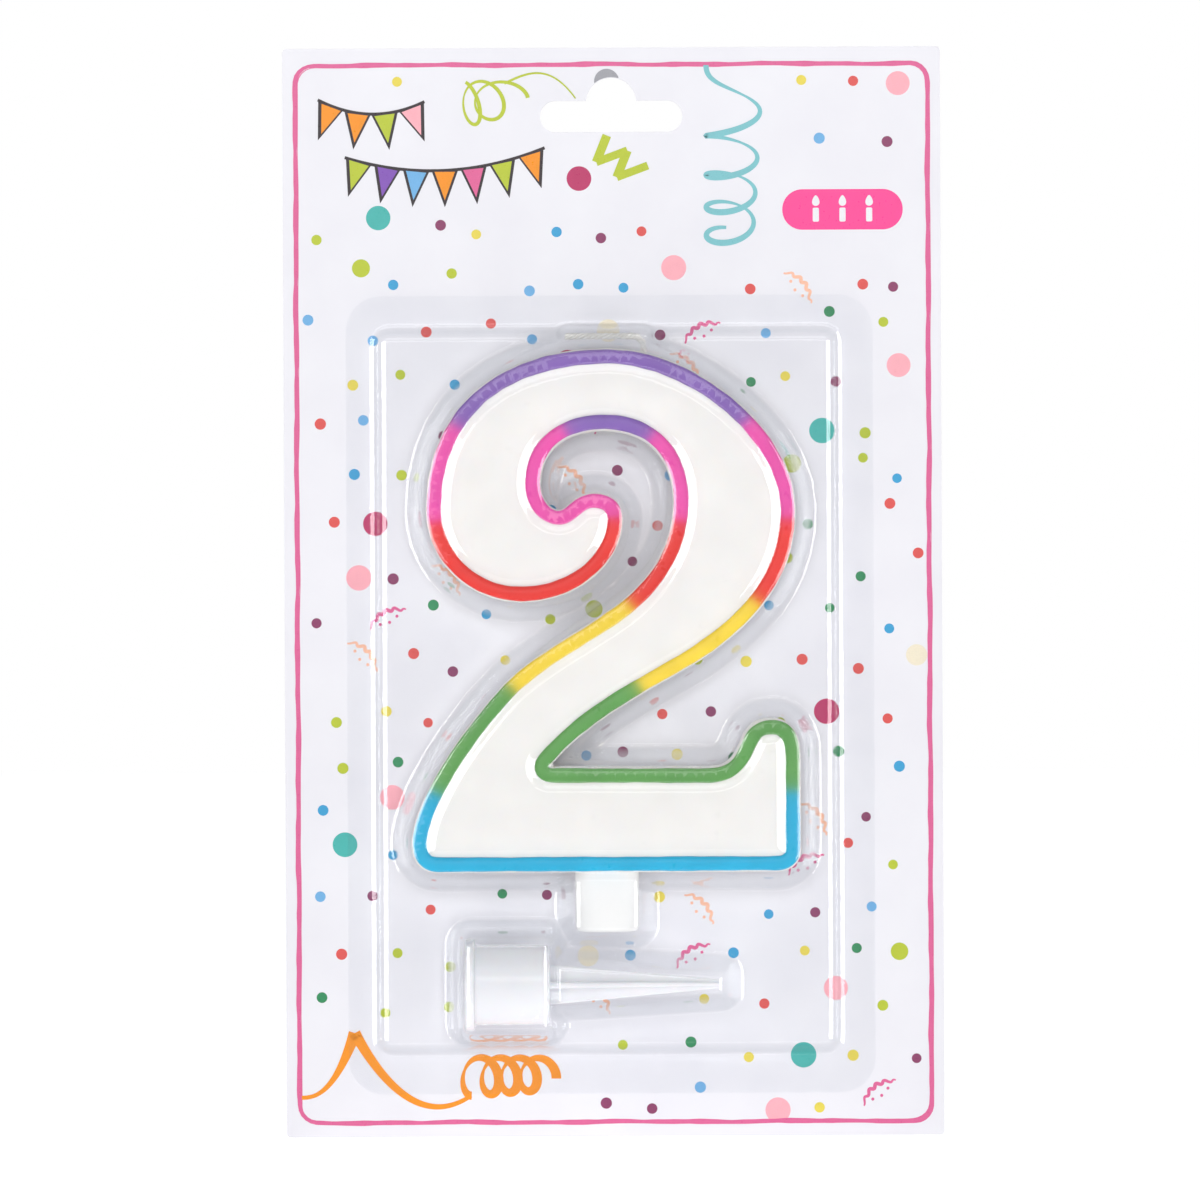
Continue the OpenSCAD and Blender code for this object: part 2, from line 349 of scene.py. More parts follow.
class Shader(ShaderNodes):
    """The nodes of one new material."""

    def __init__(self, name):
        self.material = bpy.data.materials.new(name)
        self.material.use_nodes = True
        super().__init__(self.material.node_tree)
        self.principled = self.nodes["Principled BSDF"]
        self.place = self.add("ShaderNodeTexCoord").outputs["Object"]

    def solid(self, colour, roughness, normal, **others):
        """The material, once its main shader has these inputs."""
        self.feed(self.principled, Base_Color=colour, Roughness=roughness, Normal=normal, **others)
        return self.material

    def noise(self, per_mm, detail=3.0, roughness=0.5, stretch=(1, 1, 1)):
        """Noise with about that many features to the millimetre."""
        place = self.add("ShaderNodeMapping", Vector=self.place, Scale=stretch).outputs["Vector"]
        return self.add("ShaderNodeTexNoise", Vector=place, Scale=per_mm / MM, Detail=detail,
                        Roughness=roughness).outputs["Fac"]

    def spread(self, noise, low, high):
        """Maps noise, which stays between about 0.3 and 0.7, to a range."""
        return self.ramp(noise, 0.3, 0.7, low, high)

    def blend(self, factor, first, second):
        """Mixes two colours, each a colour or a socket."""
        node = self.add("ShaderNodeMix", factor, settings={"data_type": "RGBA"})
        colour_inputs = [socket for socket in node.inputs if socket.type == "RGBA"]
        for value, socket in zip((first, second), colour_inputs):
            self.put(value, socket)
        return next(socket for socket in node.outputs if socket.type == "RGBA")

    def tones(self, noise, dark, light):
        """A colour that noise spreads between two tones."""
        return self.blend(self.spread(noise, 0, 1), dark, light)

    def ink(self, strength):
        """The colour stored in the mesh, multiplied by a number socket."""
        stored = self.add("ShaderNodeAttribute", settings={"attribute_name": "ink"}).outputs["Color"]
        node = self.add("ShaderNodeVectorMath", stored, settings={"operation": "SCALE"}, Scale=strength)
        return node.outputs["Vector"]

    def bump(self, height, depth_mm, strength=1.0, **before):
        """The normal for a relief, over the Normal before it if one is given."""
        return self.add("ShaderNodeBump", Height=height, Distance=depth_mm * MM, Strength=strength,
                        **before).outputs["Normal"]


def wax_material(name, colour=None):
    """Candle wax: soft, faintly mottled and slightly translucent.  No colour: reads "ink"."""
    s = Shader(name)
    mottle = s.noise(0.12, detail=4)
    if colour is None:
        tint = s.ink(s.spread(mottle, 0.93, 1.05))
    else:
        tint = s.tones(mottle, tuple(c * 0.965 for c in colour), colour)
    broad = s.bump(s.noise(0.22, detail=2), 0.10, 0.35)
    return s.solid(tint, s.spread(s.noise(0.5), 0.26, 0.42), s.bump(s.noise(3.0), 0.012, 0.5, Normal=broad),
                   Subsurface_Weight=0.25 if colour else 0.08, Subsurface_Scale=1.6 * MM,
                   Subsurface_Radius=(1.0, 0.75, 0.55), IOR=1.43)


def card_material():
    """White coated face of the board, with a slight tooth."""
    s = Shader("card_coated")
    return s.solid(s.tones(s.noise(0.05, detail=5), (0.80, 0.79, 0.835), (0.835, 0.828, 0.865)),
                   s.spread(s.noise(1.2), 0.30, 0.42),
                   s.bump(s.noise(2.5, detail=4), 0.01, 0.5),
                   Coat_Weight=0.15, Coat_Roughness=0.2)


def board_back_material():
    """Uncoated grey back of the board: pulp specks and short fibres."""
    s = Shader("card_back")
    fibre = s.noise(0.9, detail=6, roughness=0.7, stretch=(1, 1, 0.25))
    pulp = s.tones(fibre, (0.56, 0.54, 0.50), (0.66, 0.64, 0.60))
    cells = s.add("ShaderNodeTexVoronoi", Vector=s.place, Scale=0.35 / MM)
    speck = s.ramp(cells.outputs["Distance"], 0.06, 0.09, 1, 0)
    return s.solid(s.blend(speck, pulp, (0.36, 0.33, 0.30)),
                   s.spread(fibre, 0.75, 0.92),
                   s.bump(fibre, 0.03, 0.6))


def board_edge_material():
    """Cut edge of the board: thin layers."""
    s = Shader("card_edge")
    layers = s.noise(0.4, detail=4, stretch=(0.3, 18, 0.3))
    return s.solid(s.tones(layers, (0.60, 0.58, 0.54), (0.80, 0.79, 0.77)),
                   s.spread(layers, 0.7, 0.9),
                   s.bump(layers, 0.02, 0.6))


def ink_material():
    """Offset-printed ink: colour from "ink", broken by a fine uneven film."""
    s = Shader("printed_ink")
    broad = s.spread(s.noise(0.35, detail=3), 0.47, 0.52)
    fine = s.spread(s.noise(4.0, detail=2), 0.46, 0.53)
    return s.solid(s.ink(s.total(broad, fine)),
                   s.spread(s.noise(1.5), 0.26, 0.38),
                   s.bump(s.noise(2.5, detail=4), 0.008, 0.5),
                   Coat_Weight=0.15, Coat_Roughness=0.2)


def plastic_material():
    """White injection-moulded plastic."""
    s = Shader("white_plastic")
    return s.solid(s.tones(s.noise(0.08, detail=4), (0.83, 0.83, 0.86), (0.88, 0.88, 0.90)),
                   s.spread(s.noise(0.6), 0.16, 0.28),
                   s.bump(s.noise(0.35, detail=2), 0.02, 0.4),
                   Subsurface_Weight=0.12, Subsurface_Scale=0.8 * MM, IOR=1.5)


def cotton_material():
    """Waxed cotton: pale yarn with fine fibres."""
    s = Shader("waxed_cotton")
    fibre = s.noise(2.0, detail=5, roughness=0.7)
    return s.solid(s.tones(fibre, (0.76, 0.74, 0.70), (0.90, 0.89, 0.86)),
                   s.spread(fibre, 0.5, 0.75),
                   s.bump(fibre, 0.05, 0.8))


def clear_sheet_material():
    """Clear thermoformed sheet: see-through, with a reflection that grows at a slant and painted shade on its
    steep walls.
    """
    s = Shader("clear_sheet")
    s.nodes.remove(s.principled)
    film_ior = 1.28
    ripple = s.bump(s.noise(0.10, detail=2), 0.10, 0.25)
    fine = s.bump(s.noise(0.9, detail=3), 0.006, 0.4, Normal=ripple)
    film = s.tones(s.noise(0.15), (0.986, 0.988, 0.991), (0.996, 0.997, 0.998))
    # A steep wall is looked through edgeways, so its see-through colour darkens: partly the longer path
    # through the film, partly painted shade standing in for the dark edges that bending light gives.
    slant = s.ramp(s.add("ShaderNodeLayerWeight").outputs["Facing"], 0.15, 0.95, 0, 1)
    clear = s.add("ShaderNodeBsdfTransparent", Color=s.blend(slant, film, (0.90, 0.91, 0.92)))
    gloss = s.spread(s.noise(0.6, detail=4), 0.03, 0.09)
    shine = s.add("ShaderNodeBsdfGlossy", Color=(1, 1, 1), Roughness=gloss, Normal=fine)
    # The reflection is the same from inside the sheet as from outside it.
    backfacing = s.add("ShaderNodeNewGeometry").outputs["Backfacing"]
    fresnel = s.add("ShaderNodeFresnel", IOR=s.ramp(backfacing, 0, 1, film_ior, 1 / film_ior), Normal=fine)
    s.mix_shaders(fresnel.outputs["Fac"], clear, shine, s.nodes["Material Output"])
    return s.material


# ---- the wax number

WAX_SLOTS = {
    "purple": (0.245, 0.13, 0.46), "pink": (0.87, 0.085, 0.42), "red": (0.84, 0.035, 0.025),
    "yellow": (0.96, 0.69, 0.045), "green": (0.125, 0.37, 0.09), "blue": (0.012, 0.45, 0.72),
}
BEAD_SPACING = 0.7                       # between the bead's rings
FACE_EDGE = 1.2                          # radius of the rounded edge of the wax face
FACE_RISE = 0.75                         # how far the face swells inside the bead
FACE_REACH = 5.5                         # and over what distance
rim_nodes = sorted(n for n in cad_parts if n.startswith("rim_"))
wax_front = box("wax_number")[5]
wax_back = box("wax_number")[4]
number_outline = counter_clockwise(face_outlines("wax_number", wax_front)[0])
number_left, number_top = number_outline[:, 0].min(), number_outline[:, 1].max()
number_right, number_foot = number_outline[:, 0].max(), number_outline[:, 1].min()
peg_box = lower_box("wax_number", number_foot - 0.5)


def bead_measures():
    """The bead's width, and the distance of its outer edge inside the edge of the wax."""
    inward = [distance_to(number_outline, node_points(n)[:, [0, 2]]) for n in rim_nodes]
    nearest = max(d.max() for d in inward)
    farthest = np.median([d.min() for d in inward])
    return nearest - farthest, -nearest


bead_width, wax_margin = bead_measures()
bead_top = box(rim_nodes[0])[5]


def wax_face_depth(inward):
    """Depth of the wax face at a distance inside its edge: rounded edge, then a low dome."""
    over = np.clip(FACE_EDGE - inward, 0, FACE_EDGE)
    edge_drop = FACE_EDGE - np.sqrt(FACE_EDGE ** 2 - over ** 2)
    climb = np.clip((inward - wax_margin - bead_width) / FACE_REACH, 0, 1)
    return wax_front - edge_drop + FACE_RISE * climb * climb * (3 - 2 * climb)


def cast_number():
    """The cast wax number without its peg: domed front, flat back, both with rounded edges."""
    back_drop, back_reach = 0.35, 0.8
    dome_from, dome_to = 2.2, 7.6            # the face is most curved between these
    steps = list(np.linspace(0.15, FACE_EDGE, 4)) + list(np.linspace(dome_from, dome_to, 6))
    rings = [moved_outline(number_outline, -d, 0.9) for d in steps]
    fill = honeycomb(number_left, number_right, number_foot, number_top, 1.3)
    fill = fill[distance_to(number_outline, fill) < -dome_to - 0.6]
    flat, faces = triangulate([subdivide(number_outline, 1.0)], np.vstack(rings + [fill]))
    inward = np.maximum(0, -distance_to(number_outline, flat))
    back_round = back_drop * np.clip(1 - inward / back_reach, 0, 1) ** 2
    number = slab(flat, faces, wax_face_depth(inward), wax_back + back_round)
    build("wax_number_casting", *number, wax_material("wax_white", (0.925, 0.90, 0.865)),
          "candle", "wax_white", replaces=["wax_number"])


def wax_peg():
    """The round peg: a slight taper, a rounded end and a parting line down each side."""
    left, right, bottom, near, far = peg_box
    centre_x, depth, radius = (left + right) / 2, (near + far) / 2, (right - left) / 2
    length = number_foot - bottom
    end_round, narrowing, seam_height, seam_width, sunk = 1.1, 0.012, 0.08, 0.06, 1.5
    profile = [(0.55 * radius, 0.0), (0.80 * radius, 0.0)]
    profile += arc(radius - end_round, end_round, end_round, -1, 0, 7)
    profile += [(radius, length * share) for share in (0.3, 0.5, 0.7, 0.9)]
    profile.append((radius, length + sunk))
    rings = []
    for reach, height in profile:
        ring = []
        for angle in np.linspace(0, TAU, 72, endpoint=False):
            seam = seam_height * math.exp(-(math.sin(angle) / seam_width) ** 2)
            r = reach * (1 - narrowing * (1 - height / length)) - seam_height + seam
            ring.append((centre_x + r * math.cos(angle), -depth + r * math.sin(angle), bottom + height))
        rings.append(ring)
    build("wax_peg", *loft(rings), bpy.data.materials["wax_white"], "candle", "wax_white")


def rim_path():
    """The bead's centre line, and which CAD rim node each point of it belongs to."""
    path = moved_outline(number_outline, -(wax_margin + bead_width / 2), 0.25)
    path = softened(evenly(path, BEAD_SPACING), 2)
    distances = [distance_to(face_outlines(n, bead_top)[0], path) for n in rim_nodes]
    owner = np.argmin(np.stack(distances), axis=0)
    return path, owner


def rim_colour(node):
    return WAX_SLOTS[node.split("_")[1]]


def rim_beads():
    """One rounded bead of coloured wax for each CAD rim node."""
    path, owner = rim_path()
    count = len(path)
    along = unit(np.roll(path, -1, axis=0) - np.roll(path, 1, axis=0))
    across = np.stack([along[:, 1], -along[:, 0]], axis=1)
    swell = 1 + waves(count, (0.025, 23, 1), (0.02, 57, 2), (0.012, 131, 0))
    rise = bead_top - wax_front
    material = wax_material("wax_bead")
    starts = [i for i in range(count) if owner[i] != owner[i - 1]]
    for number, first in enumerate(starts):
        last = starts[(number + 1) % len(starts)]
        length = (last - first) % count
        run = [(first + k) % count for k in range(length + 1)]
        node = rim_nodes[owner[first]]
        before = rim_colour(rim_nodes[owner[first - 1]])
        after = rim_colour(rim_nodes[owner[last]])
        rings, colours = [], []
        for k, i in enumerate(run):
            rings.append(bead_ring(path[i], across[i], swell[i], rise))
            colours += [bled_colour(rim_colour(node), before, after, k, length)] * len(rings[-1])
        slot = "wax_" + node.split("_")[1]
        build(node + "_bead", *loft(rings), material, "candle", slot, 60, colours, [node])


def bead_ring(centre, across, swell, rise):
    """The rounded section of the bead at one point, sunk a little into the wax."""
    half = bead_width / 2 * swell
    section = [(half * math.cos(a), rise * swell * math.sin(a) ** 0.75 - 0.05)
               for a in np.linspace(0, math.pi, 13)]
    section += [(-0.9 * half, -0.5), (0.9 * half, -0.5)]
    return [(centre[0] + across[0] * reach, -(wax_front + height), centre[1] + across[1] * reach)
            for reach, height in section]


def bled_colour(own, before, after, step, length):
    """A bead's colour, running a little into its neighbours' at both ends."""
    reach = 1.0 / BEAD_SPACING
    start = 0.5 * math.exp(-step / reach)
    end = 0.5 * math.exp(-(length - step) / reach)
    colour = [o * (1 - start - end) + b * start + a * end for o, b, a in zip(own, before, after)]
    return (*colour, 1)


def wick_centre(radius, bend, spacing):
    """The wick's bent centre line: up out of the wax, round a bend and along to its cut end."""
    left, right, bottom, top, _, _ = box("wick")
    upright_x, lying_z = right - radius, top - radius
    turn_x, turn_z = upright_x - bend, lying_z - bend
    line = [(upright_x, z) for z in np.arange(bottom, turn_z, spacing)]
    line += arc(turn_x, turn_z, bend, 0, 1, 9)
    line += [(x, lying_z) for x in np.arange(turn_x - spacing, left, -spacing)]
    return np.array(line)


def braided_wick():
    """Three twisted yarns along the wick's bent path."""
    near, far = box("wick")[4:]
    radius, depth = (far - near) / 2, (near + far) / 2
    spacing, bend, lay, yarns = 0.4, 2.4, 4.2, 3        # lay: length of one full twist
    yarn_radius, offset = 0.52 * radius, 0.45 * radius
    centre = wick_centre(radius, bend, spacing)
    along = unit(np.gradient(centre, axis=0))
    parts = []
    for yarn in range(yarns):
        rings = []
        for i, (point, direction) in enumerate(zip(centre, along)):
            twist = i * spacing * TAU / lay + yarn * TAU / yarns
            ring = []
            for a in np.linspace(0, TAU, 10, endpoint=False):
                side = offset * math.cos(twist) + yarn_radius * math.cos(a)
                ahead = offset * math.sin(twist) + yarn_radius * math.sin(a)
                ring.append((point[0] + direction[1] * side, -depth - ahead, point[1] - direction[0] * side))
            rings.append(ring)
        parts.append(loft(rings))
    build("braided_wick", *joined(parts), cotton_material(), "candle", "cotton", 60, replaces=["wick"])


# ---- the holder

def holder_levels():
    """Where the holder's radius steps along its axis: mouth, lip back, floor, tip and radii."""
    left, right, bottom, top, near, far = box("holder")
    axis_z, axis_depth = (bottom + top) / 2, (near + far) / 2
    points = node_points("holder")
    radius = np.hypot(points[:, 1] + axis_depth, points[:, 2] - axis_z)
    lip = radius.max()
    mouth = points[:, 0] < left + 0.01
    socket = radius[mouth].min()
    cup = radius[(radius < lip - 0.2) & (points[:, 0] < left + 6)].max()
    lip_back = points[radius > lip - 0.1][:, 0].max()
    floor_out = points[radius > cup - 1.2][:, 0].max()
    socket_end = points[np.abs(radius - socket) < 0.05][:, 0].max()
    rib = radius[points[:, 0] > right - 2].max()
    root = radius[(points[:, 0] > floor_out - 1.2) & (radius < socket)].max()
    return dict(mouth=left, tip=right, z=axis_z, depth=axis_depth, lip=lip, cup=cup, socket=socket,
                lip_back=lip_back, floor_out=floor_out, socket_end=socket_end, rib_tip=rib, root=root)


def cup_profile(h):
    """Half section of the cup, from the middle of the socket's end round to the middle of its floor."""
    axis_gap, floor_round, mouth_round, lip_round, corner_round = 0.02, 0.8, 0.4, 0.5, 1.2
    profile = [(h["socket_end"], axis_gap)]
    profile += arc(h["socket_end"] - floor_round, h["socket"] - 1.0, floor_round, 0, 1)
    profile += arc(h["mouth"] + mouth_round, h["socket"] + mouth_round, mouth_round, -1, -2)
    profile += arc(h["mouth"] + lip_round, h["lip"] - lip_round, lip_round, 2, 1)
    profile += arc(h["lip_back"] - lip_round, h["lip"] - lip_round, lip_round, 1, 0)
    profile += arc(h["lip_back"] + lip_round, h["cup"] + lip_round, lip_round, 2, 3)
    profile += arc(h["floor_out"] - corner_round, h["cup"] - corner_round - 0.15, corner_round, 1, 0)
    return profile + [(h["floor_out"], h["root"]), (h["floor_out"], axis_gap)]


def holder_moulding():
    """A lipped cup with a rounded floor and a four-rib spike, as one moulding."""
    h = holder_levels()
    profile = cup_profile(h)
    turns, size = 96, len(profile)
    verts = [(x, -h["depth"] + r * math.cos(a), h["z"] + r * math.sin(a))
             for a in np.linspace(0, TAU, turns, endpoint=False) for x, r in profile]
    faces = []
    for k in range(turns):
        here, there = k * size, (k + 1) % turns * size
        faces += [(here + i, here + i + 1, there + i + 1, there + i) for i in range(size - 1)]
    faces.append(tuple(range(0, turns * size, size)))
    faces.append(tuple(range(size - 1, turns * size, size)))
    parts = [(verts, faces)] + [spike_rib(h, upright) for upright in (False, True)]
    build("holder_moulding", *joined(parts), plastic_material(), "holder", "white_plastic", 45,
          replaces=["holder"])


def spike_rib(h, upright):
    """One of the two crossed blades of the spike, with rounded edges and a pointed end."""
    start, end = h["floor_out"] - 0.6, h["tip"]
    point_from = 0.96                        # the share of its length where the blade starts to close
    rings = []
    for share in np.concatenate([np.linspace(0, point_from, 25), [0.975, 0.99, 1.0]]):
        half = h["root"] + (h["rib_tip"] - h["root"]) * min(share / point_from, 1)
        closing = (share - point_from) / (1 - point_from)
        half *= 1.0 if closing <= 0 else math.sqrt(max(0.02, 1 - closing ** 2))
        thick = min(0.7 - 0.25 * share, half)
        outline = rounded_box(-half, half, -thick, thick, thick * 0.85, 4)
        x = start + (end - start) * share
        rings.append([(x, -h["depth"] + (b if upright else a), h["z"] + (a if upright else b))
                      for a, b in outline])
    return loft(rings)


# ---- the blister

SHEET = 0.3                              # thickness of the clear sheet
FILM = 0.06                              # room under the flange for the ink films
FLANGE_CORNER = 8.0
TRAY_DEPTH = 3.4                         # depth of the tray's face, as in the CAD
DOME_EDGE = 3.8                          # the number's pocket climbs again inside its bead,
DOME_REACH = 6.6                         # from this far to this far in from its edge
DOME_RISE = 0.9
TRAY_DRAFT = 30                          # degrees by which the tray's sides lean
TRAY_SETBACK = 1.9                       # the rounded tray's edge, in from the CAD's sharp one


def wall(distance, top, fall, crown, dome=0.0):
    """Depth of a raised shape: level or domed inside its outline, then a rounded crown and a fall."""
    bend = (np.clip(distance + crown, 0, 2 * crown)) ** 2 / (4 * crown)
    step = np.clip((distance + DOME_REACH) / (DOME_REACH - DOME_EDGE), 0, 1)
    swell = dome * step ** 2 * (3 - 2 * step)
    return top - swell - fall * np.where(distance > crown, distance, bend)


def fall_of(draft):
    """Depth lost for each millimetre outward by a wall that leans that many degrees."""
    return 1 / math.tan(math.radians(draft))


def smooth_max(first, second, reach):
    """The greater of two heights, blended where they are within reach of each other."""
    near = np.clip(reach - np.abs(first - second), 0, None)
    return np.maximum(first, second) + near ** 2 / (4 * reach)


def blister_pockets():
    """Each pocket: outline of what it holds, gap, depth of its top, crown rounding, draft, dome."""
    clear = 0.8                              # from the front of what a pocket holds to its sheet
    left, right, _, top, _, wick_front = box("wick")
    wick = rounded_box(left, right, number_top - 4, top, 1.0)
    peg_left, peg_right, peg_bottom, _, peg_front = peg_box
    peg = rounded_box(peg_left, peg_right, peg_bottom, number_foot - 0.5, 1.5)
    h = holder_levels()
    cup = rounded_box(h["mouth"], h["floor_out"], h["z"] - h["lip"], h["z"] + h["lip"], 1.5)
    buried, blunt = h["floor_out"] - 2, 2 * h["rib_tip"]
    spike = counter_clockwise(np.array([
        (buried, h["z"] - h["root"]), (h["tip"], h["z"] - blunt),
        (h["tip"], h["z"] + blunt), (buried, h["z"] + h["root"])]))
    return [
        (number_outline, 0.8, bead_top + clear + DOME_RISE, 1.7, 12, DOME_RISE),
        (peg, 0.9, peg_front + clear, 2.0, 12, 0),
        (wick, 0.5, wick_front + 0.6, 1.0, 8, 0),
        (cup, 0.8, box("blister")[5] - 0.1, 2.0, 9, 0),
        (spike, 0.9, h["depth"] + h["root"] + clear, 1.8, 12, 0),
    ]


def sheet_depth(points, tray, pockets):
    """Depth of the sheet's front: flange, then the tray and the pockets raised out of it."""
    tray_rise = wall(distance_to(tray, points), TRAY_DEPTH, fall_of(TRAY_DRAFT), 1.1)
    depth = smooth_max(np.full(len(points), SHEET + FILM), tray_rise, 1.6)
    for outline, gap, top, crown, draft, dome in pockets:
        rise = wall(distance_to(outline, points) - gap, top, fall_of(draft), crown, dome)
        depth = smooth_max(depth, rise, 5.0)
    return depth


def bend_lines(tray, pockets):
    """Closed rows of points along every bend of the sheet, closest together where it bends most."""
    rows = [moved_outline(tray, d, 1.2) for d in np.linspace(-1.2, 1.2, 7)]
    rows += [moved_outline(tray, d, 1.2) for d in (1.6, 2.1, 2.6, 3.1)]
    for outline, gap, top, crown, draft, dome in pockets:
        foot = (top - dome - TRAY_DEPTH) / fall_of(draft)
        steps = list(crown * np.linspace(-1.0, 1.1, 8))
        steps += list(np.linspace(crown, foot - 1.2, 5)[1:-1])
        steps += list(foot + np.linspace(-1.2, 1.2, 7)) + [foot + 1.7]
        if dome:
            steps += list(np.linspace(-DOME_EDGE, -DOME_REACH, 6))
        rows += [moved_outline(outline, gap + d, 0.9) for d in steps]
    return rows


def clear_blister():
    """The formed sheet: flange, shallow tray and drafted pockets with rounded edges."""
    left, right, bottom, top, _, _ = box("blister")
    flange = rounded_box(left, right, bottom, top, FLANGE_CORNER, 12)
    tray_face = face_outlines("blister", TRAY_DEPTH)[0]
    tray = moved_outline(tray_face, -TRAY_SETBACK, 1.5)
    pockets = blister_pockets()
    fill = honeycomb(left + 1, right, bottom + 1, top, 2.2)
    extra = np.vstack(bend_lines(tray, pockets) + [fill])
    extra = extra[distance_to(flange, extra) < -0.4]
    flat, faces = triangulate([subdivide(flange, 1.5)], extra)
    front = sheet_depth(flat, tray, pockets)
    return build("clear_blister", *slab(flat, faces, front, front - SHEET), clear_sheet_material(),
                 "blister", "clear_sheet", 50, replaces=["blister"])


# ---- the card and its print

INK = 0.012                              # thickness of one ink film
INK_ROOT = 0.02                          # how far each film is sunk into the board
CUT_ROUNDING = 0.4                       # how far in from a cut edge the board's faces are pressed
CUT_DROP = 0.05                          # and by how much
card_left, card_right, card_bottom, card_top, card_back, card_face = box("backing_card")
edge, slot = face_outlines("backing_card", card_face)
slot_left, slot_right, slot_top = slot[:, 0].min(), slot[:, 0].max(), slot[:, 1].max()


def backing_card():
    """The board: coated face, grey back, layered cut edges and a hang slot."""
    fill = honeycomb(card_left + 4, card_right - 3, card_bottom + 4, card_top - 3, 6)
    clear_of_slot = distance_to(slot, fill) > 2
    flat, faces = triangulate([subdivide(edge, 6), slot], fill[clear_of_slot])
    rim = np.minimum(np.abs(distance_to(edge, flat)), np.abs(distance_to(slot, flat)))
    soft = CUT_DROP * np.clip(1 - rim / CUT_ROUNDING, 0, 1)
    verts, solid = slab(flat, faces, card_face - soft, card_back + soft)
    card = build("card_board", verts, solid, [card_material(), board_back_material(), board_edge_material()],
                 "card", "card", 30, replaces=["backing_card"])
    for polygon in card.data.polygons:
        polygon.material_index = 0 if polygon.normal.y < -0.6 else 1 if polygon.normal.y > 0.6 else 2


INKS = {
    "green": (0.027, 0.26, 0.10), "lime": (0.48, 0.56, 0.03), "yellow": (0.80, 0.66, 0.08),
    "pink": (0.95, 0.42, 0.48), "magenta": (0.50, 0.03, 0.13), "teal": (0.06, 0.45, 0.41),
    "blue": (0.16, 0.43, 0.74), "cyan": (0.04, 0.35, 0.64), "red": (0.73, 0.09, 0.08),
    "plum": (0.26, 0.045, 0.13), "peach": (0.93, 0.52, 0.36), "cream": (0.86, 0.78, 0.60),
    "rose": (0.73, 0.12, 0.30), "orange": (0.90, 0.29, 0.005), "purple": (0.22, 0.08, 0.45),
    "aqua": (0.20, 0.53, 0.57), "outline": (0.03, 0.02, 0.025), "white": (0.84, 0.83, 0.86),
    "badge": (0.95, 0.06, 0.30), "grey": (0.34, 0.34, 0.37),
}


def strip(path, widths, closed=False):
    """A flat ribbon of varying width along a path."""
    path = np.asarray(path, float)
    steps = np.roll(path, -1, axis=0) - np.roll(path, 1, axis=0) if closed else np.gradient(path, axis=0)
    along = unit(steps)
    across = np.stack([-along[:, 1], along[:, 0]], axis=1)
    half = np.broadcast_to(widths, len(path))[:, None] / 2
    points = np.vstack([path + across * half, path - across * half])
    count = len(path)
    faces = []
    for i in range(count if closed else count - 1):
        j = (i + 1) % count
        faces.append((i + count, j + count, j, i))
    return points, faces


def filled(outline):
    """A flat shape of one face."""
    return outline, [tuple(range(len(outline)))]


def disc(x, z, radius, sides=28):
    """A flat dot."""
    angles = np.linspace(0, TAU, sides, endpoint=False)
    return filled(np.stack([x + radius * np.cos(angles), z + radius * np.sin(angles)], axis=1))


def extent(points, margin=2.8):
    """Left, right, bottom and top of some flat points, with a margin all round."""
    (left, bottom), (right, top) = np.min(points, axis=0) - margin, np.max(points, axis=0) + margin
    return left, right, bottom, top


def print_ink(name, shapes, lift=1):
    """Prints (ink name, flat shape) pairs on the card as thin closed films; returns their extents.

    A strip climbs by half a film along its length, so it lies over itself where it crosses.
    """
    parts, colours = [], []
    for ink, (points, faces) in shapes:
        half = max(1, len(points) // 2)
        climb = INK / 2 * (np.arange(len(points)) % half) / half if len(faces) > 1 else 0
        part = slab(points, faces, lift * INK + climb, -INK_ROOT)
        parts.append(part)
        colours += [(*INKS[ink], 1)] * len(part[0])
    build(name, *joined(parts), bpy.data.materials.get("printed_ink") or ink_material(), "card", "card", 30,
          colours)
    return [extent(points) for _, (points, _) in shapes]


def print_border():
    """The hand-drawn frame line near the card's edge, with a thin echo of it."""
    side, above, below, corner = 2.9, 3.8, 3.3, 4.0
    line = rounded_box(card_left + side, card_right - side, card_bottom + below, card_top - above, corner, 10)
    line = evenly(line, 1.2)
    weight = 1 + waves(len(line), (0.14, 31, 0), (0.1, 77, 1), (0.06, 151, 2))
    wander = waves(len(line), (0.09, 19, 2), (0.06, 43, 0))
    line = line + unit(line - line.mean(axis=0)) * wander[:, None]
    echo = line + np.array([0.5, -0.4])
    print_ink("print_border", [("rose", strip(line, weight, closed=True))], 2)
    print_ink("print_border_echo", [("rose", strip(echo, 0.22 * weight, closed=True))], 3)


def curl(start, drift, sideways, swings, turns, lead=0.0, phase=0.0):
    """A ribbon curl that drifts away in loops, and its angle at each point.

    It reaches "sideways" across its drift and "swings" along it, each given at its start and end.
    """
    share = np.linspace(0, 1, 420)
    ahead = np.array(drift) / math.hypot(*drift)
    side = np.array([-ahead[1], ahead[0]])
    angle = phase + turns * TAU * share ** (1 + lead)
    path = np.array(start) + np.outer(share, drift)
    path = path + np.outer(np.interp(share, (0, 1), sideways) * np.cos(angle), side)
    path = path + np.outer(np.interp(share, (0, 1), swings) * np.sin(angle), ahead)
    return path, angle


def brushed(path, angle, thin, thick):
    """A stroke that thickens and thins as a flat ribbon turns."""
    return strip(path, thin + (thick - thin) * np.abs(np.sin(angle / 2 + 0.6)))


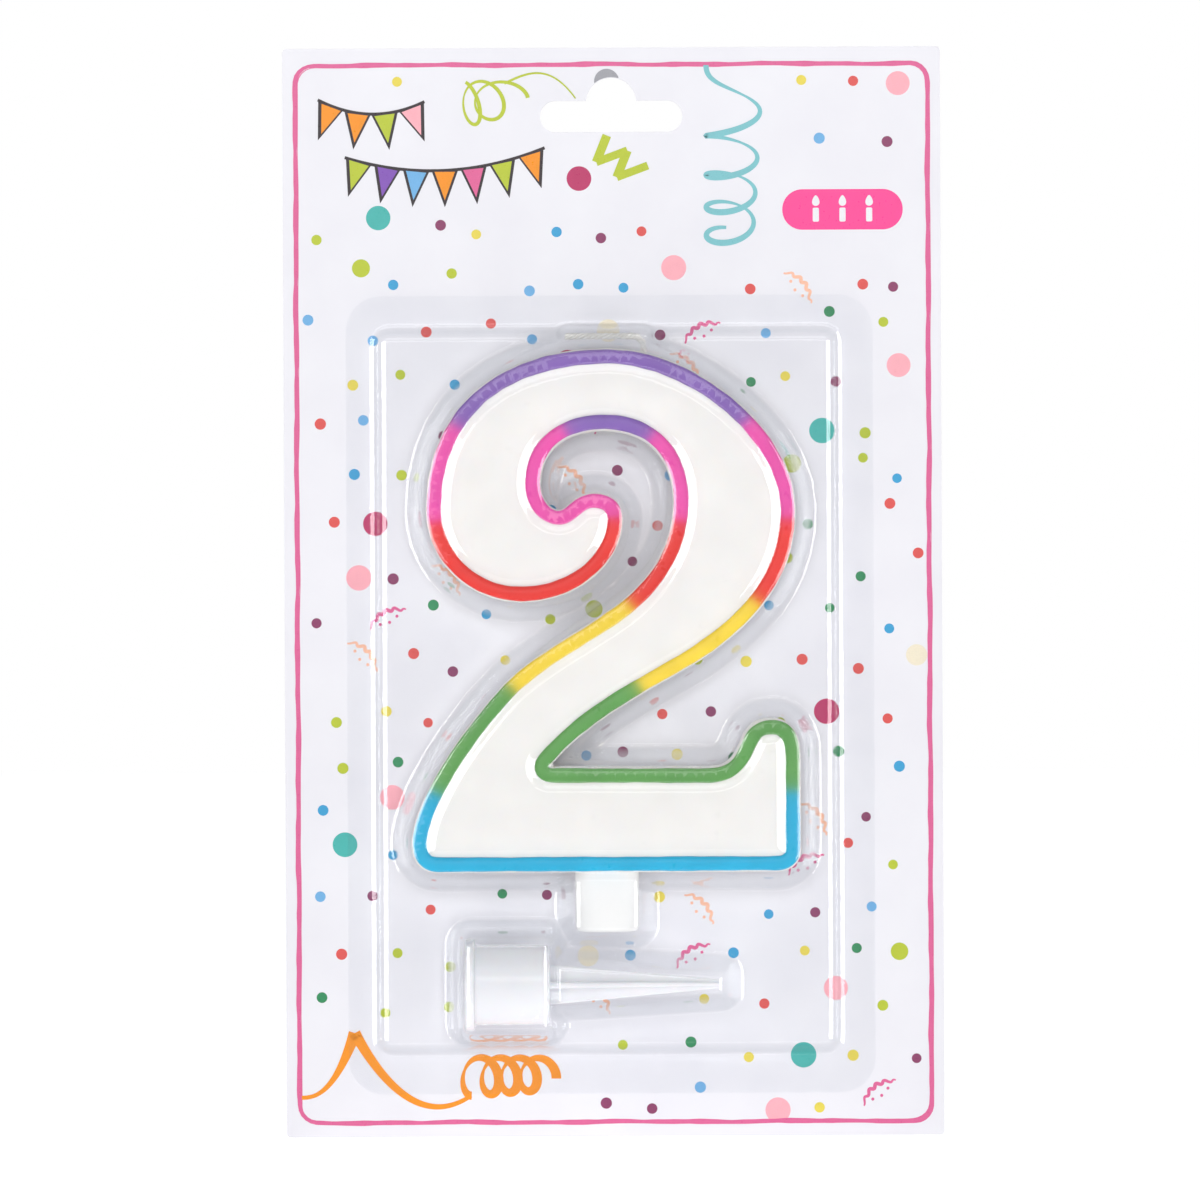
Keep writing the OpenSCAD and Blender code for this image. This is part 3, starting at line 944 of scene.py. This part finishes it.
def print_streamers():
    """Party streamers: a long teal ribbon, thin lime loops, a lime zigzag and an orange swoop."""
    share = np.linspace(0, 1, 120)
    teal = curl((slot_right + 11.7, 11.2), (-1.2, -39.5), (6.4, 5.2), (0.4, 3.2), 4.2, lead=0.6, phase=3.3)
    lime = curl((slot_left - 17, 3), (9, 1), (5.2, 3.8), (2.1, 5.3), 2.2, phase=0.4)
    tail = np.stack([slot_left - 8 + 16 * share, 7.5 + 3.2 * np.sin(2.4 * share) - 5.6 * share ** 3], axis=1)
    zigzag = [(-1.0 + 2.3 * k - 4.7 * (k % 2), -4.3 - 1.7 * k - 4.3 * (k % 2)) for k in range(5)]
    rise = np.stack([card_left + 3.4 + 12 * share, card_bottom + 9 + 14.5 * share ** 2.4], axis=1)
    fall = -18.5 * (1 - (1 - share) ** 2.6) + 4.3 * share ** 4
    swoop = np.stack([card_left + 15.4 + 26.1 * share, card_bottom + 23.5 + fall], axis=1)
    loops = curl((card_left + 41.5, card_bottom + 13.6), (16.4, 0.5), (4.3, 3.6), (2.9, 2.9), 3.8,
                 phase=math.pi)
    taken = print_ink("print_streamers", [
        ("aqua", brushed(*teal, 0.5, 1.4)),
        ("lime", brushed(*lime, 0.35, 0.9)),
        ("lime", strip(tail, 0.55 - 0.25 * share)),
        ("lime", strip(zigzag[0:2], 2.0)),
        ("lime", strip(zigzag[2:4], 2.0)),
        ("orange", strip(rise, 0.9 + 1.9 * share ** 3)),
        ("orange", brushed(*loops, 0.6, 2.2)),
    ], 4)
    return taken + print_ink("print_streamer_folds", [
        ("lime", strip(zigzag[1:3], 1.8)),
        ("lime", strip(zigzag[3:5], 1.8)),
        ("orange", strip(swoop, 2.6 - 1.7 * share ** 0.6)),
    ], 5)


def turned(points, angle, x, z):
    """Flat points turned about the origin, then moved to (x, z)."""
    turn = np.array([[math.cos(angle), math.sin(angle)], [-math.sin(angle), math.cos(angle)]])
    return np.asarray(points) @ turn + (x, z)


def flag(x, z, width, height, lean):
    """A three-cornered bunting flag hung from (x, z)."""
    return filled(turned([(-width / 2, 0), (0, -height), (width / 2, 0)], lean, x, z))


def print_garland():
    """Two rows of flags in the top left corner: start, span, sag and inks of each row."""
    rows = [((card_left + 8, 4), (24, -0.5), 3.0, ["orange", "orange", "lime", "pink"]),
            ((card_left + 14, -9), (45, 2), 4.0,
             ["lime", "purple", "blue", "orange", "rose", "lime", "orange"])]
    width, height, outline = 6.2, 8.6, 0.8
    shapes, fills = [], []
    share = np.linspace(0, 1, 60)
    for start, span, sag, inks in rows:
        x = start[0] + span[0] * share
        z = start[1] + span[1] * share - 4 * sag * share * (1 - share)
        shapes.append(("outline", strip(np.stack([x, z], axis=1), 0.7)))
        for k, ink in enumerate(inks):
            at = (k + 0.5) / len(inks)
            flag_x, flag_z = np.interp(at, share, x), np.interp(at, share, z)
            lean = math.atan2(sag * 4 * (2 * at - 1), span[0])
            shapes.append(("outline", flag(flag_x, flag_z + 0.3, width, height, lean)))
            fills.append((ink, flag(flag_x, flag_z - 0.3, width - 2 * outline, height - 2.2, lean)))
    print_ink("print_garland_fill", fills, 3)
    return print_ink("print_garland_line", shapes, 2)


def print_badge():
    """The pink pill at the top right, with three small plain candles on it."""
    right, top, width, height = card_right - 8.5, -16.6, 27.1, 9.1
    middle_x, middle_z = right - width / 2, top - height / 2
    pill = rounded_box(right - width, right, top - height, top, height / 2 - 0.05, 12)
    stem = rounded_box(-0.7, 0.7, 1.8 - height / 2, 0.4, 0.3, 3)
    angle = np.linspace(TAU, 0, 24, endpoint=False)
    flame = np.stack([0.8 * np.sin(angle) * (1 - 0.35 * np.cos(angle)), 2.0 + 1.2 * np.cos(angle)], axis=1)
    marks = [("white", filled(mark + (middle_x + shift, middle_z)))
             for shift in (-6, 0, 6) for mark in (stem, flame)]
    print_ink("print_badge_mark", marks, 3)
    return print_ink("print_badge_pill", [("badge", filled(pill))], 2)


def print_cut_dot():
    """A grey dot that the bump of the slot cuts through, so that only a crescent is left."""
    sides, clear_of_cut = 48, 0.15
    dot, _ = disc(-1.0, slot_top - 0.8, 2.8, sides)
    from_below = np.roll(dot, sides // 4, axis=0)
    cut = moved_outline(slot, clear_of_cut, 0.4)
    arch = from_below[distance_to(cut, from_below) > 0]
    bite = cut[distance_to(dot, cut) < 0]
    print_ink("print_cut_dot", [("grey", filled(np.vstack([arch, bite[np.argsort(bite[:, 0])]])))])


def squiggle(x, z, lean):
    """A short bumpy arc over three dots."""
    share = np.linspace(-1, 1, 48)
    arch = np.stack([4.6 * share, 1.6 - 1.9 * share ** 2 + 0.35 * np.sin(share * 15)], axis=1)
    dots = turned([(2.1 * k, -1.0 + 0.5 * abs(k)) for k in (-1, 0, 1)], lean, x, z)
    bump = strip(turned(arch, lean, x, z), 0.35 + 0.5 * (1 - share ** 2))
    return [bump] + [disc(*dot, 0.36, 12) for dot in dots]


def scattered(rng, spacing, taken):
    """Jittered places all over the card, away from the other artwork."""
    grid = honeycomb(card_left + 8.5, card_right - 7, card_bottom + 9, card_top - 6, spacing)
    grid = grid + rng.uniform(-0.26, 0.26, grid.shape) * spacing
    grid[:, 1] = np.minimum(grid[:, 1], card_top - 7.5)
    return [(x, z) for x, z in grid
            if not any(left < x < right and bottom < z < top for left, right, bottom, top in taken)]


def print_confetti(taken):
    """Scattered dots and squiggles, clear of the places already taken."""
    rng = np.random.default_rng(20)
    small = ["green", "blue"] + 2 * ["lime", "yellow", "cyan", "red", "plum"]
    large = [("pink", 2.9), ("teal", 2.8), ("magenta", 2.8), ("pink", 2.8), ("cream", 2.5), ("lime", 2.0)]
    shapes = []
    for i, (x, z) in enumerate(scattered(rng, 12.5, taken)):
        near_edge = abs(x) > card_right - 12
        if i % 12 == 5 and not near_edge:
            ink, lean = ("rose", 0.55) if i % 24 == 5 else ("peach", -0.85)
            shapes += [(ink, shape) for shape in squiggle(x, z, lean + rng.uniform(-0.1, 0.1))]
        elif i % 6 == 3:
            ink, radius = large[(i // 6) % len(large)]
            shapes.append((ink, disc(x, z, radius * rng.uniform(0.95, 1.04), 40)))
        else:
            shapes.append((small[rng.integers(len(small))], disc(x, z, rng.uniform(1.08, 1.28))))
    print_ink("print_confetti", shapes)


# ---- studio

def studio_floor():
    """A wide pale floor just under the card; the glints shine from below it too."""
    s = Shader("studio_floor")
    tone = s.tones(s.noise(0.002, detail=2), (0.90, 0.90, 0.91), (0.93, 0.93, 0.935))
    s.feed(s.principled, Base_Color=tone, Roughness=0.9, Emission_Color=(1, 1, 1), Emission_Strength=0.68)
    bpy.ops.mesh.primitive_plane_add(size=8, location=(0, 0, (card_bottom - 0.05) * MM))
    floor = bpy.context.object
    floor.name = "studio_floor"
    floor.data.materials.append(s.material)
    floor.visible_glossy = floor.visible_shadow = False


def surround():
    """A white surround for the camera; for the pack it is dim at the sides, brighter before and behind."""
    world = bpy.data.worlds.new("studio_world")
    bpy.context.scene.world = world
    world.use_nodes = True
    w = ShaderNodes(world.node_tree)
    direction = w.add("ShaderNodeTexCoord").outputs["Generated"]
    backward = w.add("ShaderNodeSeparateXYZ", direction).outputs["Y"]
    strength = w.total(w.ramp(backward, 0.0, 0.5, 0.22, 0.50), w.ramp(backward, -0.35, -0.85, 0.0, 0.34))
    lit = w.nodes["Background"]
    w.feed(lit, Color=(0.965, 0.975, 1.0), Strength=strength)
    seen = w.add("ShaderNodeBackground", Color=(1, 1, 1), Strength=1.0)
    camera_ray = w.add("ShaderNodeLightPath").outputs["Is Camera Ray"]
    w.mix_shaders(camera_ray, lit, seen, w.nodes["World Output"])


def studio(shiny):
    """Floor, surround, softboxes on the pack, and glints that only the shiny object reflects."""
    studio_floor()
    surround()
    reflectors = bpy.data.collections.new("reflectors")
    reflectors.objects.link(shiny)
    for name, place, width, height, power in [
            ("softbox_left", (-0.55, -1.15, 0.20), 0.5, 0.8, 2.0),
            ("softbox_right", (0.60, -1.10, 0.10), 0.4, 0.8, 1.6),
            ("softbox_top", (-0.10, -0.80, 0.85), 0.8, 0.4, 0.8),
            ("softbox_front", (0.0, -1.35, 0.42), 0.7, 0.3, 2.0),
            ("glint_left", (-0.88, -0.70, 0.0), 1.05, 0.9, 44.0),
            ("glint_right", (0.88, -0.70, 0.0), 1.05, 0.9, 38.0),
            ("glint_back", (0.0, 1.1, 0.0), 1.8, 1.8, 22.0),
            ("glint_top", (0.0, -0.65, 0.85), 1.2, 0.4, 2.5),
            ("glint_low", (0.0, -0.75, -0.80), 1.2, 0.3, 1.5)]:
        light = softbox(name, place, width, height, power)
        if name.startswith("glint"):
            light.light_linking.receiver_collection = reflectors


def pack_middle():
    """The middle of the card, in metres."""
    return Vector((0, 0, (card_top + card_bottom) / 2 * MM))


def softbox(name, place, width, height, power):
    """An area lamp aimed at the middle of the pack, its place counted from there in metres."""
    lamp = bpy.data.lights.new(name, "AREA")
    lamp.shape = "RECTANGLE"
    lamp.size, lamp.size_y = width, height
    lamp.energy = power
    light = bpy.data.objects.new(name, lamp)
    light.location = pack_middle() + Vector(place)
    light.visible_camera = False
    light.rotation_euler = (-Vector(place)).to_track_quat("-Z", "Y").to_euler()
    bpy.context.scene.collection.objects.link(light)
    return light


def camera():
    """A long lens almost square on, framing the pack as a product picture does."""
    view_width = 270.0 * MM
    lens, sensor = 250.0, 36.0
    shift_right, shift_up, roll = -3.0 * MM, -1.8 * MM, math.radians(0.26)
    data = bpy.data.cameras.new("camera")
    data.lens, data.sensor_width = lens, sensor
    eye = bpy.data.objects.new("camera", data)
    eye.location = pack_middle() + Vector((shift_right, -view_width * lens / sensor, shift_up))
    eye.rotation_euler = (QUARTER, roll, 0)
    scene = bpy.context.scene
    scene.collection.objects.link(eye)
    scene.camera = eye
    scene.view_settings.view_transform = "Standard"
    scene.cycles.transparent_max_bounces = 32


def main():
    backing_card()
    print_border()
    print_cut_dot()
    print_confetti([extent(slot)] + print_streamers() + print_garland() + print_badge())
    cast_number()
    wax_peg()
    rim_beads()
    braided_wick()
    holder_moulding()
    studio(clear_blister())
    camera()


main()
